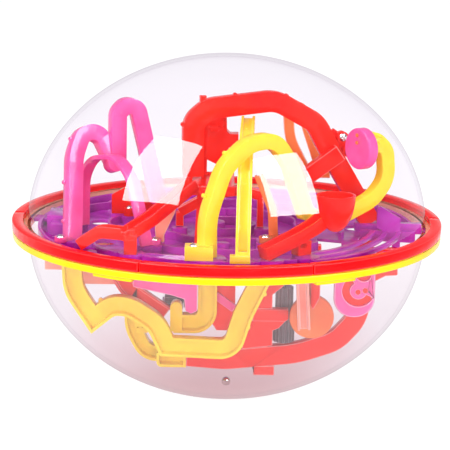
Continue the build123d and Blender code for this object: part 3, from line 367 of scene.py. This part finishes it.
for side, name in ((1, "clear_upper_shell"), (-1, "clear_lower_shell")):
    dome = revolved(name + "_dome", shell_profile(side))
    dome.data.materials.append(MATERIALS["clear_plastic"] if side > 0 else LOWER_SHELL)
    dome.data.materials.append(SHELL_INSIDE)
    dome.data.materials.append(FLANGE)
    centre = Vector((0, 0, RIM_Z))
    for face in dome.data.polygons:
        off_axis = face.center - centre
        on_flange = abs(off_axis.z) <= FLANGE_T * 1.1 and off_axis.xy.length > (SHELL_RX - SHELL_T) * 0.999
        looks_in = face.normal.dot(off_axis) < 0
        face.material_index = 2 if on_flange else 1 if looks_in else 0
    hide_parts(name)
    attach(dome, "maze")

# ---------------------------------------------------------------- studio
FLOOR_R = 9.0
FLOOR_DROP = 0.2 * MM  # keeps the floor from touching the foot
FLOOR_GLOW = 0.94
floor_mesh = bpy.data.meshes.new("floor")
bm = bmesh.new()
bmesh.ops.create_circle(bm, cap_ends=True, segments=64, radius=FLOOR_R)
bm.to_mesh(floor_mesh)
bm.free()
floor = bpy.data.objects.new("floor", floor_mesh)
scene.collection.objects.link(floor)
floor.location.z = -FLOOR_DROP
mat, tree = new_material("floor_white")
out = tree.nodes.new("ShaderNodeOutputMaterial")
shader = tree.nodes.new("ShaderNodeBsdfPrincipled")
tree.links.new(
    ramp(tree, noise(tree, 3.0), ((0.3, (0.12, 0.12, 0.12)), (0.7, (0.14, 0.14, 0.14)))),
    shader.inputs["Base Color"],
)
shader.inputs["Roughness"].default_value = 0.6
shader.inputs["Emission Color"].default_value = (1.0, 1.0, 1.0, 1.0)
shader.inputs["Emission Strength"].default_value = FLOOR_GLOW
shader.inputs["Specular IOR Level"].default_value = 0.1
tree.links.new(shader.outputs["BSDF"], out.inputs["Surface"])
floor.data.materials.append(mat)

# World: pale up to about ten degrees over the horizon, darker overhead, as under a dark ceiling.
world = bpy.data.worlds.new("studio")
scene.world = world
world.use_nodes = True
tree = world.node_tree
tree.nodes.clear()
out = tree.nodes.new("ShaderNodeOutputWorld")
sky = tree.nodes.new("ShaderNodeBackground")
coord = tree.nodes.new("ShaderNodeTexCoord")
split = tree.nodes.new("ShaderNodeSeparateXYZ")
tree.links.new(coord.outputs["Generated"], split.inputs["Vector"])
SKY = (
    (0.0, (0.93, 0.92, 0.93)),
    (0.1, (0.84, 0.83, 0.84)),
    (0.24, (0.4, 0.39, 0.4)),
    (0.5, (0.42, 0.41, 0.43)),
    (1.0, (0.36, 0.35, 0.37)),
)
tree.links.new(ramp(tree, split.outputs["Z"], SKY), sky.inputs["Color"])
sky.inputs["Strength"].default_value = 1.0
tree.links.new(sky.outputs["Background"], out.inputs["Surface"])

# Two softboxes over the front, left and right, which show as reflections in the upper shell. Each
# faces the middle of the toy from SOFTBOX_DISTANCE away and is a little wider at the foot.
SOFTBOX_DISTANCE = 0.98
SOFTBOXES = {  # degrees round to the right of the front, degrees up, top and bottom width, height, tilt
    "softbox_left": (-52, 48, 0.44, 0.58, 0.72, 14),
    "softbox_right": (42, 42, 0.41, 0.49, 0.68, -8),
}
SOFTBOX_STRENGTH = 20.0


def softbox_corners(turn, rise, top_width, bottom_width, height, tilt):
    across = math.radians(turn)
    up = math.radians(rise)
    facing = Vector((math.sin(across) * math.cos(up), -math.cos(across) * math.cos(up), math.sin(up)))
    side = Vector((0, 0, 1)).cross(facing).normalized()
    spun = Matrix.Rotation(math.radians(tilt), 3, facing)
    side_axis = spun @ side
    up_axis = spun @ facing.cross(side)
    centre = Vector((0, 0, RIM_Z)) + facing * SOFTBOX_DISTANCE
    top = up_axis * height / 2
    return [
        centre + top - side_axis * top_width / 2,
        centre + top + side_axis * top_width / 2,
        centre - top + side_axis * bottom_width / 2,
        centre - top - side_axis * bottom_width / 2,
    ]


mat, tree = new_material("softbox")
out = tree.nodes.new("ShaderNodeOutputMaterial")
glow = tree.nodes.new("ShaderNodeEmission")
glow.inputs["Strength"].default_value = SOFTBOX_STRENGTH
glow.inputs["Color"].default_value = (1.0, 0.93, 0.94, 1.0)
tree.links.new(glow.outputs["Emission"], out.inputs["Surface"])
for name, layout in SOFTBOXES.items():
    mesh = bpy.data.meshes.new(name)
    mesh.from_pydata(softbox_corners(*layout), [], [(0, 1, 2, 3)])
    box = bpy.data.objects.new(name, mesh)
    scene.collection.objects.link(box)
    mesh.materials.append(mat)
    box.visible_camera = False
    box.visible_transmission = False
    box.visible_diffuse = False
    box.visible_shadow = False

# Wide lamps that do the lighting: place, power in watts, edge length in metres.
LAMPS = {
    "key_left": ((-1.1, -1.1, 1.3), 23.0, 0.9),
    "fill_right": ((1.2, -1.0, 0.9), 13.0, 0.9),
    "top_back": ((0.1, 0.7, 1.5), 12.0, 1.0),
    "front_low": ((0.0, -1.5, 0.12), 18.0, 0.8),
}
for name, (place, watts, edge) in LAMPS.items():
    lamp = bpy.data.lights.new(name, "AREA")
    lamp.energy = watts
    lamp.size = edge
    lamp_obj = bpy.data.objects.new(name, lamp)
    scene.collection.objects.link(lamp_obj)
    lamp_obj.location = place
    lamp_obj.rotation_euler = (Vector((0, 0, RIM_Z)) - Vector(place)).to_track_quat("-Z", "Y").to_euler()
    lamp_obj.visible_glossy = False
    lamp_obj.visible_camera = False

# ---------------------------------------------------------------- camera
CAMERA_DISTANCE = 0.75
CAMERA_ELEVATION = math.radians(12.6)
CAMERA_ROLL = math.radians(0.87)
CAMERA_LENS = 115.83  # mm, on a sensor 36 mm wide
CAMERA_SHIFT = (-0.0036, -0.0014)
target = Vector((0, 0, RIM_Z))
away = Vector((0, -math.cos(CAMERA_ELEVATION), math.sin(CAMERA_ELEVATION)))
cam_data = bpy.data.cameras.new("camera")
cam_data.sensor_width = 36.0
cam_data.lens = CAMERA_LENS
cam_data.shift_x, cam_data.shift_y = CAMERA_SHIFT
cam_data.clip_start = 0.01
cam_data.clip_end = 50.0
camera = bpy.data.objects.new("camera", cam_data)
scene.collection.objects.link(camera)
camera.location = target + away * CAMERA_DISTANCE
look = (target - camera.location).to_track_quat("-Z", "Y").to_matrix().to_4x4()
camera.rotation_euler = (look @ Matrix.Rotation(CAMERA_ROLL, 4, "Z")).to_euler()
bpy.context.scene.camera = camera

scene.view_settings.view_transform = "Standard"
scene.view_settings.look = "None"
